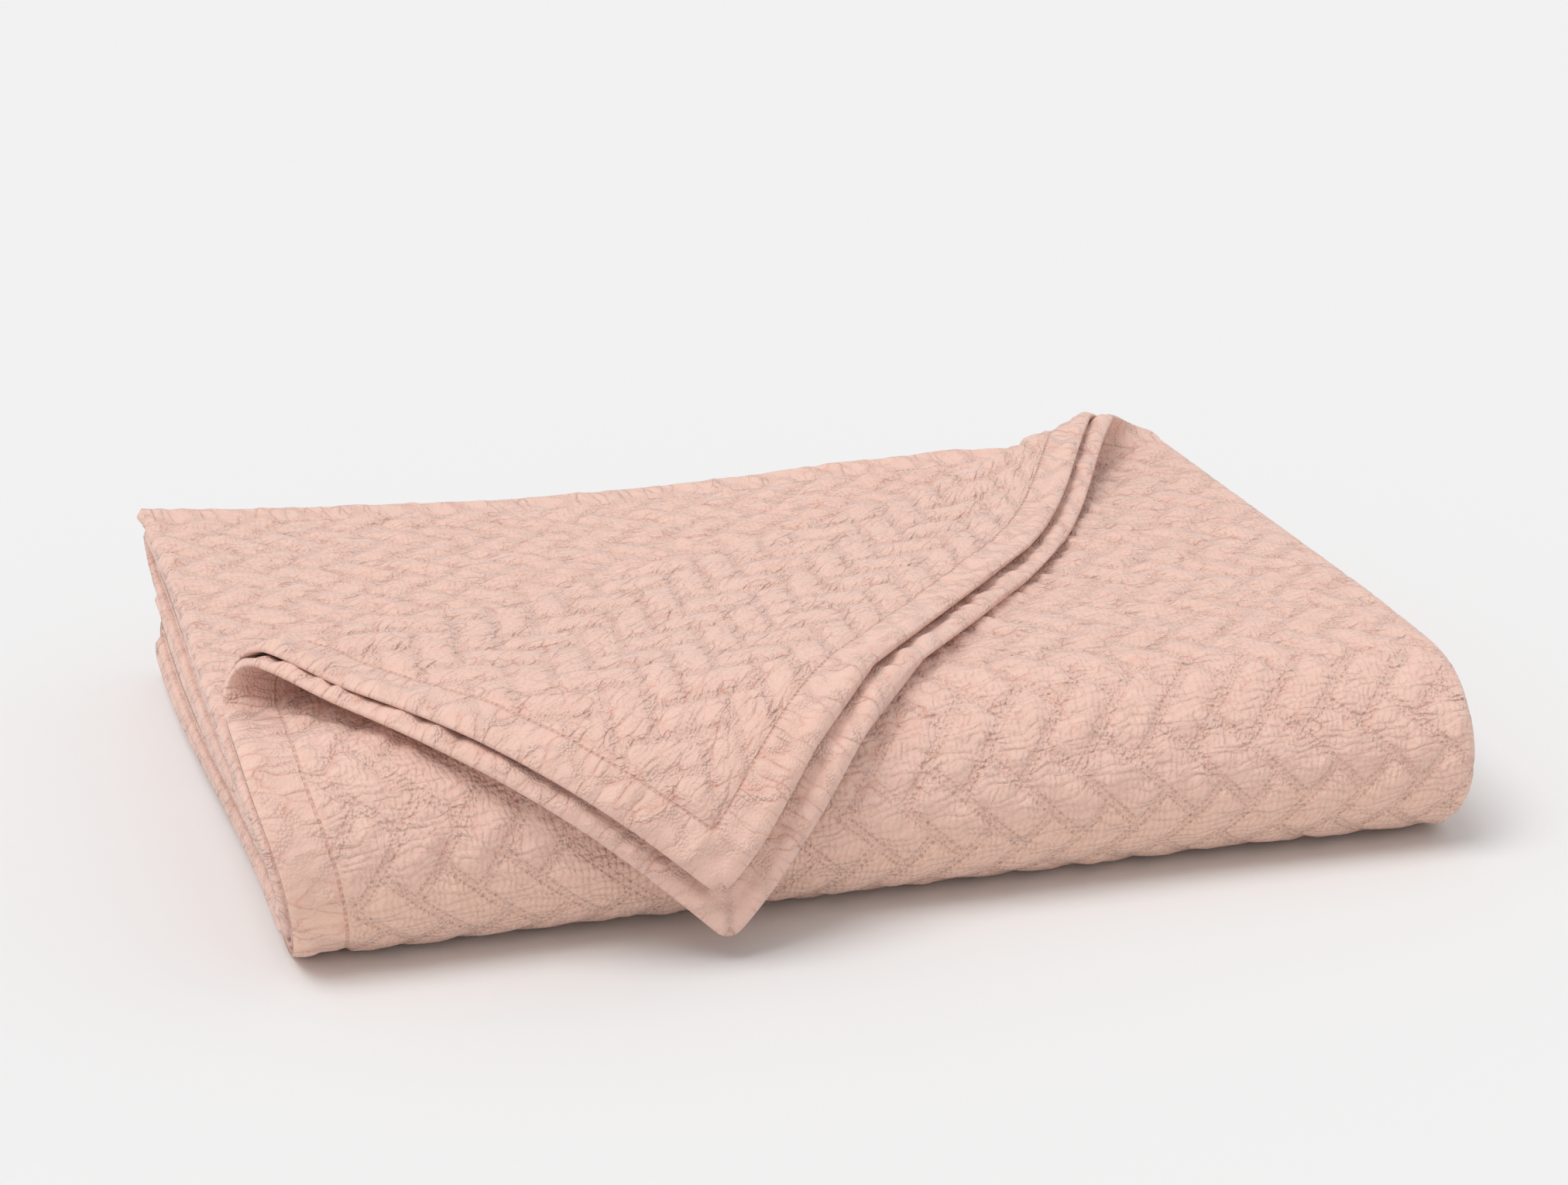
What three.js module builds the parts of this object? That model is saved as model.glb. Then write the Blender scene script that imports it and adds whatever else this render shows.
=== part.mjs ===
import * as THREE from 'three';

// A quilted cotton blanket, folded in four across its width, in three along its length and then
// in half round the front fold. The doubled corner on top is turned over towards the front.
// Millimetres, +Z up. The front fold faces -Y, the hemmed ends of the layers face -X.

const BLANKET_WIDTH = 2337;
const BLANKET_LENGTH = 2438;
const CLOTH = 3.0; // thickness of one layer, away from the quilting
const PITCH = 4.5; // one layer and the air above it
const LAYERS = 4; // layers of the strip after the folds across the width
const STRIP = LAYERS * PITCH;
const HEM = 25;
const HEM_ROLL = 4; // how far in from the edge the rolled hem is thickest
const HEM_PLUMP = 0.7; // how much higher the rolled edge stands
const EDGE_HALF = 0.9; // half thickness at the very edge

// Herringbone quilting: bricks twice as long as wide, at 45 degrees, in zigzag rows along X
const BRICK = 20.6;
const QUILT_STEP = BRICK / Math.SQRT2; // half the zigzag's period, from stitch crossing to puff
const PUFF = 1.3; // how far the middle of a brick stands above the plain face
const STITCH_DIP = 0.7; // how far a stitch line lies below it

// The corner turned over: its crease, in the flat strip, from the left edge to the back edge
const TOP_ROWS = 25;
const TOP_RUN = TOP_ROWS * QUILT_STEP; // length of the top layer, from its back hem to the nose
const CREASE_FROM_BACK = 334; // where the crease meets the left edge
const CREASE_SLANT = 0.45; // its angle to the front fold, in radians
const CREASE_BOW = 34; // how far its far end bends back to the right-hand corner
const CREASE_BOW_FROM = 350;
const CREASE_LENGTH = 640;
const CREASE_SKEW = 0.14; // how far the turned corner slides along its crease as it leaves it
const CREASE_GATHER = 0.055; // share of its length taken up in small puckers
const BACK_SHORTFALL = 22; // how far the outer pair's back hem falls short at the left edge
const BACK_HOLLOW = 18; // and how much further, halfway along
const CREASE_STEPS = 4;
// Inner radius of the crease along its length, from the open loop at the left edge
const CREASE_ROLL = [
  { along: 0, radius: 12.5 },
  { along: 70, radius: 9 },
  { along: 170, radius: 4.2 },
  { along: 420, radius: 4.2 },
  { along: 620, radius: 13 },
];
const LOOSE = 1.6; // how much further apart its two layers lie than those of the stack
const SETTLE = 55; // distance over which the turned corner sinks from its crease to the layer below
const FLAP_REST = [1.4 * PITCH, 2.8 * PITCH]; // heights of its two layers over the top layer
const FLAP_LIFT = 11; // how far its tip hangs clear of the nose
const FLAP_PARTING = 3; // how much further its upper layer does
const FLAP_LIFTS_BEFORE = 70; // it starts to lift this far before the nose
const FLAP_LIFTED_PAST = 110; // and is lifted this far past it
const HANG_ANGLE = 1.45; // how far round the nose the turned corner lies before it hangs straight

// How the stack has settled
const NOSE_SINK = 0.04; // share of its height lost towards the front fold
const RIGHT_SINK = 0.1; // and towards the right end
const BACK_SAG = 0.045; // and along the middle of the back
const RIGHT_SAG = 0.07; // and at the back right corner
const BACK_NARROWING = 10; // how far the right end stands in at the back
const SWAY = 0.008; // share of its height by which the top rises and falls from left to right
const SWAY_LENGTH = 95; // length of that wave, for each radian
const TOP_OVERHANG = 18; // how far its upper layers stand out to the left
const BACK_OVERHANG = 11; // and its lower layers, at the back
const SIDE_WAVER = 2; // how unevenly the layers end at the left
const SIDE_WAVER_LENGTH = 70;
const SIDE_WAVER_TURN = 5; // radians by which the top layer's wave is ahead of the bottom one's
const FRONT_BOW = 3.5; // how far the top sits back in the middle of the front
const FRONT_WAVER = 1.6; // and how unevenly the nose runs, at the top
const FRONT_WAVER_BELOW = 0.4; // share of that left at the bottom
const FRONT_WAVER_LENGTH = 60;
const FLOOR_TRIM = 0.9; // the underside's roundness, pressed flat by the surface below

// The spacing of the mesh where it is plain
const COARSE_COLUMNS = [190, 385];
const CLOSEST = 2; // no lattice column is closer to the end of a run than this
const CLOSEST_COARSE = 8; // nor is a coarse column
const PLAIN_UNDER_CREASE = 1.4 * QUILT_STEP; // the layer below stays plain this far from the crease
const CREASE_SEARCH_FROM = -200;
const CREASE_SEARCH_STEPS = 40;

const lerp = (a, b, t) => a + (b - a) * t;
const clamp = (v, low, high) => Math.min(high, Math.max(low, v));
const smooth = (v, low, high) => {
  const t = clamp((v - low) / (high - low), 0, 1);
  return t * t * (3 - 2 * t);
};

// A folded section: straight runs joined by half turns, a positive radius turning left.
// It gives the place and heading at a length along it.
function foldedSection(start, heading, pieces) {
  const legs = [];
  let place = start;
  let angle = heading;
  let from = 0;
  for (const { run, turn } of pieces) {
    const length = run ?? Math.PI * Math.abs(turn);
    legs.push({ from, length, place, angle, turn });
    if (turn === undefined) {
      place = [place[0] + run * Math.cos(angle), place[1] + run * Math.sin(angle)];
    } else {
      place = [place[0] - 2 * turn * Math.sin(angle), place[1] + 2 * turn * Math.cos(angle)];
      angle += Math.sign(turn) * Math.PI;
    }
    from += length;
  }
  const at = (length) => {
    const leg = legs.findLast((candidate) => candidate.from <= length) ?? legs[0];
    const into = length - leg.from;
    if (leg.turn === undefined) {
      const [u, v] = leg.place;
      return { u: u + into * Math.cos(leg.angle), v: v + into * Math.sin(leg.angle), angle: leg.angle };
    }
    const turned = leg.angle + into / leg.turn;
    return {
      u: leg.place[0] + leg.turn * (Math.sin(turned) - Math.sin(leg.angle)),
      v: leg.place[1] - leg.turn * (Math.cos(turned) - Math.cos(leg.angle)),
      angle: turned,
    };
  };
  return { at, legs, length: from };
}

// Across the width: hem, top layer, outer fold at the right, fourth layer, fold at the left,
// third layer, inner fold at the right, second layer, hem
const OUTER_TURN = 1.5 * PITCH;
const INNER_TURN = 0.5 * PITCH;
const OUTER_PAIR = 0.25 * PITCH; // the two layers above this level are turned over together
const RUN = (BLANKET_WIDTH - Math.PI * (OUTER_TURN + 2 * INNER_TURN)) / LAYERS;
const across = foldedSection([0, OUTER_TURN], 0, [
  { run: RUN },
  { turn: -OUTER_TURN },
  { run: RUN },
  { turn: -INNER_TURN },
  { run: RUN },
  { turn: INNER_TURN },
  { run: RUN },
]);

// Along the length: top layer, front fold, underside, lower back fold, then the middle panel
// the other way round, upper back fold, and the inmost panel round its own small fold
const FRONT_TURN = 2.5 * STRIP;
const MIDDLE_TURN = 1.5 * STRIP;
const SMALL_TURN = 0.5 * STRIP;
const TURNS = Math.PI * (FRONT_TURN + MIDDLE_TURN + 3 * SMALL_TURN);
const PANEL = (BLANKET_LENGTH - TOP_RUN - TURNS) / 5;
const along = foldedSection([TOP_RUN, 5.5 * STRIP], Math.PI, [
  { run: TOP_RUN },
  { turn: FRONT_TURN },
  { run: PANEL },
  { turn: SMALL_TURN },
  { run: PANEL },
  { turn: -MIDDLE_TURN },
  { run: PANEL },
  { turn: -SMALL_TURN },
  { run: PANEL },
  { turn: SMALL_TURN },
  { run: PANEL },
]);

// The crease's own axes on the flat strip: forward along it, and back towards the corner
const FORWARD = [Math.cos(CREASE_SLANT), -Math.sin(CREASE_SLANT)];
const BACKWARD = [-Math.sin(CREASE_SLANT), -Math.cos(CREASE_SLANT)];

// Distance along the crease, distance back from it, and how far it has bent back there
function creasePlace(x, back) {
  const down = back - CREASE_FROM_BACK;
  const s = x * FORWARD[0] + down * FORWARD[1];
  const bow = CREASE_BOW * Math.max(0, (s - CREASE_BOW_FROM) / (CREASE_LENGTH - CREASE_BOW_FROM)) ** 2;
  return { s, m: x * BACKWARD[0] + down * BACKWARD[1] - bow, bow };
}

function rollRadius(s) {
  const next = CREASE_ROLL.findIndex((row) => row.along > s);
  if (next === 0) return CREASE_ROLL[0].radius;
  if (next < 0) return CREASE_ROLL.at(-1).radius;
  const [a, b] = [CREASE_ROLL[next - 1], CREASE_ROLL[next]];
  return lerp(a.radius, b.radius, smooth(s, a.along, b.along));
}

// Turns the outer pair of layers over the crease, in the flat strip's own axes
function turnCorner(x, back, level) {
  if (level < OUTER_PAIR) return { x, back, level };
  const { s, m, bow } = creasePlace(x, back);
  if (m <= 0) return { x, back, level };
  const depth = OUTER_TURN - level;
  const share = clamp(depth / PITCH, 0, 1);
  const inner = rollRadius(s);
  const radius = inner + depth;
  const axis = OUTER_TURN + inner;
  const angle = Math.min(m / radius, Math.PI);
  const beyond = Math.max(0, m - Math.PI * radius);
  const reach = bow + radius * Math.sin(angle) - beyond * (1 - CREASE_GATHER);
  let height = axis - radius * Math.cos(angle) + LOOSE * share * smooth(angle, 0, Math.PI);
  const slid = s - CREASE_SKEW * beyond;
  const flatBack = CREASE_FROM_BACK + slid * FORWARD[1] + reach * BACKWARD[1];
  if (beyond > 0) {
    const hang = smooth(flatBack, TOP_RUN - FLAP_LIFTS_BEFORE, TOP_RUN + FLAP_LIFTED_PAST);
    const rest = OUTER_TURN + lerp(FLAP_REST[0], FLAP_REST[1], share)
      + (FLAP_LIFT + FLAP_PARTING * share) * hang;
    height = lerp(rest, height, Math.exp(-((beyond / SETTLE) ** 2)));
  }
  return { x: slid * FORWARD[0] + reach * BACKWARD[0], back: flatBack, level: height, turned: true };
}

// The turned corner lies round the nose for a while and then hangs straight down
function hangOverNose(past, level) {
  const reach = FRONT_TURN + level;
  const angle = Math.min(past / reach, HANG_ANGLE);
  const free = past - reach * angle;
  return {
    y: -reach * Math.sin(angle) - free * Math.cos(angle),
    z: 3 * STRIP + reach * Math.cos(angle) - free * Math.sin(angle),
  };
}

// How the folded stack has settled: lower at the front and right, its sides a little uneven
function settle(x, y, z) {
  const share = z / (6 * STRIP);
  const front = 1 - smooth(y, -FRONT_TURN - STRIP, 2 * FRONT_TURN);
  const rear = Math.max(0, y / PANEL);
  const inward = clamp(x / COARSE_COLUMNS[0], 0, 1);
  const toRight = clamp((x - COARSE_COLUMNS[1]) / (RUN - COARSE_COLUMNS[1]), 0, 1);
  const sink = NOSE_SINK * front + RIGHT_SINK * toRight;
  const sag = rear * inward * lerp(BACK_SAG, RIGHT_SAG, toRight);
  const sway = SWAY * Math.sin(x / SWAY_LENGTH) * (1 - front);

  const overhang = TOP_OVERHANG * share + BACK_OVERHANG * (1 - share) * smooth(y, -FRONT_TURN - STRIP, PANEL);
  const waver = SIDE_WAVER * Math.sin(y / SIDE_WAVER_LENGTH + SIDE_WAVER_TURN * share);
  const inset = (BACK_NARROWING * rear * x) / RUN;
  const bow = FRONT_BOW * share * Math.sin((Math.PI * x) / RUN);
  const ripple = FRONT_WAVER * lerp(FRONT_WAVER_BELOW, 1, share) * Math.sin(x / FRONT_WAVER_LENGTH);
  return [x + (waver - overhang) * (1 - x / RUN) - inset, y + bow + ripple, z * (1 - sink - sag + sway)];
}

// The middle of the cloth, at a width p and a length q along its folded strip
function middle(p, q) {
  const fold = across.at(p);
  const { x, back, level, turned } = turnCorner(fold.u, q, fold.v);
  if (turned && back > TOP_RUN) {
    const hung = hangOverNose(back - TOP_RUN, level);
    return new THREE.Vector3(...settle(x, hung.y, hung.z));
  }
  const panel = along.at(back);
  const y = panel.u + level * Math.sin(panel.angle);
  const z = panel.v - level * Math.cos(panel.angle);
  return new THREE.Vector3(...settle(x, y, z));
}

function facePoint(p, q, height) {
  const step = 0.05;
  const alongWidth = middle(p + step, q).sub(middle(p - step, q));
  const alongLength = middle(p, q + step).sub(middle(p, q - step));
  const up = alongLength.cross(alongWidth).normalize();
  const point = middle(p, q).addScaledVector(up, height);
  point.z = Math.max(0, point.z - FLOOR_TRIM);
  return point;
}

// The outer pair's back hem falls short of the pair below, most at the left edge
function outerLengthAt(x, row) {
  const share = clamp(x / RUN, 0, 1);
  const short = BACK_SHORTFALL * (1 - share) + BACK_HOLLOW * Math.sin(Math.PI * share);
  return row + short * Math.max(0, 1 - row / TOP_RUN);
}
function lengthAt(p, row) {
  const { u: x, v: level } = across.at(p);
  return level < OUTER_PAIR ? row : outerLengthAt(x, row);
}

// Rows along the length. Those on the top and round the nose follow the quilting.
const NOSE_ROWS = 11;
const CREASE_END_ROW = 18; // from here on the rows stay close, round the open end of the crease
const noseLength = Math.PI * FRONT_TURN;
const HEM_ROWS = [0, HEM_ROLL, HEM];
function lengthRows(topEvery) {
  const rows = HEM_ROWS.map((q) => ({ q }));
  for (let j = 2; j < TOP_ROWS; j += j < CREASE_END_ROW ? topEvery : 1) rows.push({ q: j * QUILT_STEP, j });
  for (let j = 0; j <= NOSE_ROWS; j++) {
    rows.push({ q: TOP_RUN + (j / NOSE_ROWS) * noseLength, j: TOP_ROWS + j });
  }
  for (const leg of along.legs.slice(2)) {
    if (leg.turn === undefined) {
      rows.push({ q: leg.from + leg.length / 2 });
    } else {
      const steps = Math.abs(leg.turn) > STRIP ? 6 : 4;
      for (let k = 0; k <= steps; k++) rows.push({ q: leg.from + (k / steps) * leg.length });
    }
  }
  rows.push({ q: BLANKET_LENGTH - HEM }, { q: BLANKET_LENGTH });
  return rows;
}

// Where a row crosses the lines that run along the crease, from its start to the flap proper
function creaseCrossings(row, depth) {
  const crossings = [];
  for (let k = 0; k <= CREASE_STEPS; k++) {
    let [low, high] = [CREASE_SEARCH_FROM, RUN];
    for (let n = 0; n < CREASE_SEARCH_STEPS; n++) {
      const x = (low + high) / 2;
      const { s, m } = creasePlace(x, outerLengthAt(x, row));
      if (m > (k / CREASE_STEPS) * Math.PI * (rollRadius(s) + depth)) low = x;
      else high = x;
    }
    crossings.push(Math.max(0, low));
  }
  return crossings;
}

// Which parts of the quilted face show: in front of the turned corner, on it, and behind it
function shows(p, row) {
  const { u: x, v: level } = across.at(p);
  const back = lengthAt(p, row.q);
  const { s, m } = creasePlace(x, back);
  const margin = 1.2 * QUILT_STEP;
  const onTop = row.q <= TOP_RUN;
  if (level > PITCH) {
    if (!onTop) return row.q <= TOP_RUN + noseLength;
    if (m > 0) return false;
    const mirrored = [s * FORWARD[0] - m * BACKWARD[0], CREASE_FROM_BACK + s * FORWARD[1] - m * BACKWARD[1]];
    return mirrored[0] < 2.5 * margin || mirrored[1] < BACK_SHORTFALL + margin;
  }
  if (!onTop || x > RUN - CLOSEST) return false;
  if (level > 0) return m > margin;
  return level > -PITCH && m > PLAIN_UNDER_CREASE;
}

// Plain stations border the quilting, so that its relief ends within one step of the lattice
function borders(p, row) {
  const steps = [[QUILT_STEP, 0], [-QUILT_STEP, 0], [0, QUILT_STEP], [0, -QUILT_STEP]];
  return steps.some(([aside, ahead]) => shows(p + aside, { q: row.q + ahead }));
}

// Stations across one row of a face, in lists that meet at their ends
function stationLists(row, quilted) {
  const legs = across.legs;
  const lattice = (low, high) => {
    const found = [];
    for (let i = Math.ceil(low / QUILT_STEP); i * QUILT_STEP < high; i++) {
      const p = i * QUILT_STEP;
      if (p - low > CLOSEST && high - p > CLOSEST) found.push({ p, i });
    }
    return found;
  };
  const fill = (low, high, flap) => {
    const found = [{ p: low }];
    const inside = (p) => p > HEM + CLOSEST && p < BLANKET_WIDTH - HEM - CLOSEST;
    const fine = quilted && (row.j !== undefined || row.q === HEM);
    const stations = new Map();
    for (const { p, i } of lattice(low, high)) {
      if (!inside(p)) continue;
      const wanted = fine && shows(p, row);
      if (wanted || (fine && borders(p, row)) || (flap && i % 2 === 0)) {
        stations.set(p, { p, i, quilt: wanted && row.j !== undefined });
      }
    }
    const middleOfRun = (low + high) / 2;
    const run = legs.find((leg) => middleOfRun >= leg.from && middleOfRun <= leg.from + leg.length);
    for (const x of COARSE_COLUMNS) {
      const p = run.from + (Math.cos(run.angle) > 0 ? x : RUN - x);
      const near = [...stations.keys()].some((other) => Math.abs(other - p) < 1.5 * QUILT_STEP);
      if (!near && p - low > CLOSEST_COARSE && high - p > CLOSEST_COARSE) stations.set(p, { p });
    }
    for (const p of [HEM_ROLL, HEM, BLANKET_WIDTH - HEM, BLANKET_WIDTH - HEM_ROLL]) {
      if (p - low > 0.5 && high - p > 0.5) stations.set(p, { p });
    }
    found.push(...[...stations.values()].sort((a, b) => a.p - b.p));
    if (high > low) found.push({ p: high });
    return found;
  };
  const lists = [];
  const first = creaseCrossings(row.q, 0);
  const second = creaseCrossings(row.q, PITCH).map((x) => BLANKET_WIDTH - x);
  lists.push(fill(0, first.at(-1), true));
  for (let k = CREASE_STEPS; k > 0; k--) {
    lists.push(first[k - 1] > first[k] ? [{ p: first[k] }, { p: first[k - 1] }] : [{ p: first[k] }]);
  }
  lists.push(fill(first[0], RUN, false));
  for (const leg of legs.slice(1, -1)) {
    if (leg.turn === undefined) {
      lists.push(fill(leg.from, leg.from + leg.length, false));
    } else {
      const turn = [];
      for (let k = 0; k <= 4; k++) turn.push({ p: leg.from + (k / 4) * leg.length });
      lists.push(turn);
    }
  }
  lists.push(fill(legs.at(-1).from, second[0], false));
  for (let k = 1; k <= CREASE_STEPS; k++) {
    lists.push(second[k] > second[k - 1] ? [{ p: second[k - 1] }, { p: second[k] }] : [{ p: second[k] }]);
  }
  lists.push(fill(second.at(-1), BLANKET_WIDTH, true));
  return lists;
}

// Height of a face over the middle of the cloth
function faceHeight(station, row, quilted) {
  const fromEdge = Math.min(station.p, BLANKET_WIDTH - station.p, row.q, BLANKET_LENGTH - row.q);
  if (fromEdge < 0.5) return EDGE_HALF;
  const half = CLOTH / 2;
  if (!quilted || !shows(station.p, row)) return half;
  if (Math.abs(fromEdge - HEM_ROLL) < 0.5) return half + HEM_PLUMP;
  if (Math.abs(fromEdge - HEM) < 0.5) return half - STITCH_DIP;
  if (!station.quilt) return half;
  return half + ((station.i + row.j) % 2 === 0 ? -STITCH_DIP : PUFF);
}

// A brick covers two squares of the quilting lattice. Where four stations have the side
// between two squares in their middle, this tells whether that side is inside one brick.
function insideBrick(i, j) {
  const kind = (m, n) => (((m - n) % 4) + 4) % 4;
  if ((i + j) % 2 === 0) return kind((i + j) / 2, (i - j) / 2) === 2;
  return kind((i + j - 1) / 2, (i - j - 1) / 2) === 0;
}

const positions = [];
const triangles = [];
function addTriangle(a, b, c, turned) {
  if (a === b || b === c || a === c) return;
  triangles.push(...(turned ? [a, c, b] : [a, b, c]));
}

// Joins two lists of stations with triangles, both in rising order
function zip(a, b, turned) {
  let i = 0;
  let j = 0;
  const level = (u, v) => Math.abs(u.at - v.at) < 1e-6;
  while (i < a.length - 1 || j < b.length - 1) {
    const moreA = i < a.length - 1;
    const moreB = j < b.length - 1;
    if (moreA && moreB && level(a[i], b[j]) && level(a[i + 1], b[j + 1])) {
      const quilt = [a[i], a[i + 1], b[j], b[j + 1]].every((station) => station.quilt);
      const [u, v] = [a[i].i, a[i].j];
      const crossings = quilt && (u + v) % 2 === 0;
      const alongBrick = quilt && insideBrick(u, v);
      if (crossings !== alongBrick) {
        addTriangle(a[i].id, a[i + 1].id, b[j + 1].id, turned);
        addTriangle(a[i].id, b[j + 1].id, b[j].id, turned);
      } else {
        addTriangle(a[i].id, a[i + 1].id, b[j].id, turned);
        addTriangle(a[i + 1].id, b[j + 1].id, b[j].id, turned);
      }
      i++;
      j++;
    } else if (moreA && (!moreB || a[i + 1].at < b[j + 1].at)) {
      addTriangle(a[i].id, a[i + 1].id, b[j].id, turned);
      i++;
    } else {
      addTriangle(a[i].id, b[j + 1].id, b[j].id, turned);
      j++;
    }
  }
}

// One face of the cloth: rows of stations, joined list by list
function addFace(rows, side, quilted) {
  const built = rows.map((row) => {
    const made = new Map();
    return stationLists(row, quilted).map((list) => list.map((station) => {
      const key = station.p.toFixed(3);
      if (!made.has(key)) {
        const height = side * faceHeight(station, row, quilted);
        const point = facePoint(station.p, lengthAt(station.p, row.q), height);
        made.set(key, positions.push(point.toArray()) - 1);
      }
      return { ...station, at: station.p, j: row.j, id: made.get(key) };
    }));
  });
  for (let r = 1; r < built.length; r++) {
    built[r].forEach((list, n) => zip(built[r - 1][n], list, side > 0));
  }
  const flat = (row) => row.flat().filter((station, n, all) => n === 0 || station.id !== all[n - 1].id);
  return {
    firstRow: flat(built[0]),
    lastRow: flat(built.at(-1)),
    left: built.map((row, n) => ({ ...row[0][0], at: rows[n].q })),
    right: built.map((row, n) => ({ ...row.at(-1).at(-1), at: rows[n].q })),
  };
}

function buildBlanket() {
  const quiltedFace = addFace(lengthRows(1), 1, true);
  const innerFace = addFace(lengthRows(2), -1, false);
  zip(quiltedFace.firstRow, innerFace.firstRow, false);
  zip(quiltedFace.lastRow, innerFace.lastRow, true);
  zip(quiltedFace.left, innerFace.left, true);
  zip(quiltedFace.right, innerFace.right, false);
  const geometry = new THREE.BufferGeometry();
  geometry.setAttribute('position', new THREE.Float32BufferAttribute(positions.flat(), 3));
  geometry.setIndex(triangles);
  return geometry;
}

const cotton = new THREE.MeshStandardMaterial({ color: 0xe3bcb0, roughness: 0.95, metalness: 0 });
const blanket = new THREE.Mesh(buildBlanket(), cotton);
blanket.name = 'blanket';

// The origin is in the middle of the folded blanket's underside
const object = new THREE.Group();
object.add(blanket);
const box = new THREE.Box3().setFromObject(blanket);
blanket.position.set(-(box.min.x + box.max.x) / 2, -(box.min.y + box.max.y) / 2, -box.min.z);

export default object;
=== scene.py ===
import math
from types import SimpleNamespace

import bpy
import numpy as np
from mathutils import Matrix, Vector


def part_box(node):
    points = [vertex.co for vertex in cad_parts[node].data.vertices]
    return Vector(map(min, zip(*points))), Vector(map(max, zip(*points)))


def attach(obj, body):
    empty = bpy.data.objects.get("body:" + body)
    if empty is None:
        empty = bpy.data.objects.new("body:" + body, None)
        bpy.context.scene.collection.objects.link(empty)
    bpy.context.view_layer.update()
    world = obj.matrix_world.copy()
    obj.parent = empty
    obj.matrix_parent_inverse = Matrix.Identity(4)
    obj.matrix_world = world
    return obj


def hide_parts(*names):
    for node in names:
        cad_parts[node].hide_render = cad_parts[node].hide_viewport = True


# A quilted cotton blanket, folded in four across its width and in six along its length, with the
# doubled corner on top turned over. Its one sheet is laid out here in millimetres: p runs across
# the cloth and q along it. The sheet is folded, quilted and creased, and then set in the frame.

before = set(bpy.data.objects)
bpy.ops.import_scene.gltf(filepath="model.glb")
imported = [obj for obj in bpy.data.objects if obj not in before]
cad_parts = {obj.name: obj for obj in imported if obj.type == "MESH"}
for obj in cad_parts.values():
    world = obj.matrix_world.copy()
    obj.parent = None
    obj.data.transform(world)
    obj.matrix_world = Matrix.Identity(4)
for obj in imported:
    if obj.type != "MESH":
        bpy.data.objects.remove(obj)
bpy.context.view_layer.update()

MM = 0.001

# The cloth and its edge
CLOTH_WIDTH = 2337
CLOTH_LENGTH = 2438
CLOTH = 3.0  # thickness of one layer away from the quilting
RIM = 0.5  # a place nearer the edge than this lies on the edge itself
EDGE_HALF = 0.8  # half the thickness there
EDGE_SHARE = 0.6  # share of the full thickness just inside it
EDGE_SLOPE = 3  # width over which the cloth comes to its full thickness
CORNER_RADIUS = 9
TINY = 0.001
PROBE = 0.4  # how far to each side the slope of the cloth is taken

# The hem: a plump roll along the edge, puckers across it, and the groove of its stitches
HEM = 25
HEM_RELIEF = (1.2, 1.0)  # height of the roll and of the puckers
FLAP_HEM_RELIEF = (2.0, 1.5)
INNER_HEM_RELIEF = (2.3, 1.7)
ROLLED_EDGE = 13
ROLL_FULLNESS = 0.8
PUCKERS = ((5.5, 30), (13, 40))  # two sizes, along the edge and across the hem
SECOND_PUCKER = 0.6
PUCKERS_RISE = (0.5, 5)
PUCKERS_FALL = (20, 27)
STITCH_TROUGH = 1.9
STITCH_DEPTH = 1.3
GATHERS = (4.0, 22)
GATHER_HEIGHT = 0.7
GATHER_REACH = 6
MITRE_TROUGH = 1.6
MITRE_DEPTH = 0.8
QUILT_RISES = (HEM + 1, HEM + 5)
HEM_FADES = (HEM + 4, HEM + 14)
INNER_HEM_FADES = (HEM + 4, HEM + 12)

# The folds: four layers make a strip, and the strip lies back and forth six times
PITCH = 4.5  # one layer and the air above it
STRIP = 4 * PITCH
OUTER_TURN = 1.5 * PITCH
INNER_TURN = 0.5 * PITCH
RUN = (CLOTH_WIDTH - math.pi * (OUTER_TURN + 2 * INNER_TURN)) / 4
FRONT_TURN = 2.5 * STRIP
MIDDLE_TURN = 1.5 * STRIP
SMALL_TURN = 0.5 * STRIP
OUTER_PAIR = 0.25 * PITCH  # the two layers above this level are turned over together

# Herringbone quilting: bricks twice as long as wide, at 45 degrees, each a soft pad
BRICK = 20.6
QUILT_STEP = BRICK / math.sqrt(2)
PUFF = 1.5  # how far the middle of a pad stands above the plain face
STITCH_DIP = 0.75  # how far its borders lie below it
PAD_ACROSS = (2.1, 0.75)  # how flat a pad's top is, and how full its sides
PAD_ALONG = (3.2, 0.65)
PAD_VARIES = 0.3
PAD_STEP = 2.4
ASKEW = 42  # how far the outer layer's rows have slipped at the left edge
ASKEW_FADES = (-5, 10)

# Folds and lumps in the pads, in two sizes across and along the cloth
FLAP_FOLDS = ((13, 5.6), (8, 5.2))
FLAP_FOLD_HEIGHT = 0.9
SECOND_FLAP_FOLD = 0.6
LUMPS = ((7, 5.8), (5.2, 5.2))
LUMP_HEIGHT = 1.45
SECOND_LUMP = 0.7
LUMPS_AT_BORDER = 0.4
NOISE_TABLE = (97, 89)

TOP_RUN = 25 * QUILT_STEP
TURNS = math.pi * (FRONT_TURN + MIDDLE_TURN + 3 * SMALL_TURN)
PANEL = (CLOTH_LENGTH - TOP_RUN - TURNS) / 5
NOSE = math.pi * FRONT_TURN

# Where the cloth starts to come round the nose, and where it is pulled flat low on the front
FRONT_STARTS = (TOP_RUN - 30, TOP_RUN + 50)
PULLED_STARTS = (TOP_RUN + 50, TOP_RUN + 95)
PULLED_ENDS = (TOP_RUN + NOSE, TOP_RUN + NOSE + 60)
PULLED_PADS = 0.75
PULLED_LUMPS = 0.3

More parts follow.
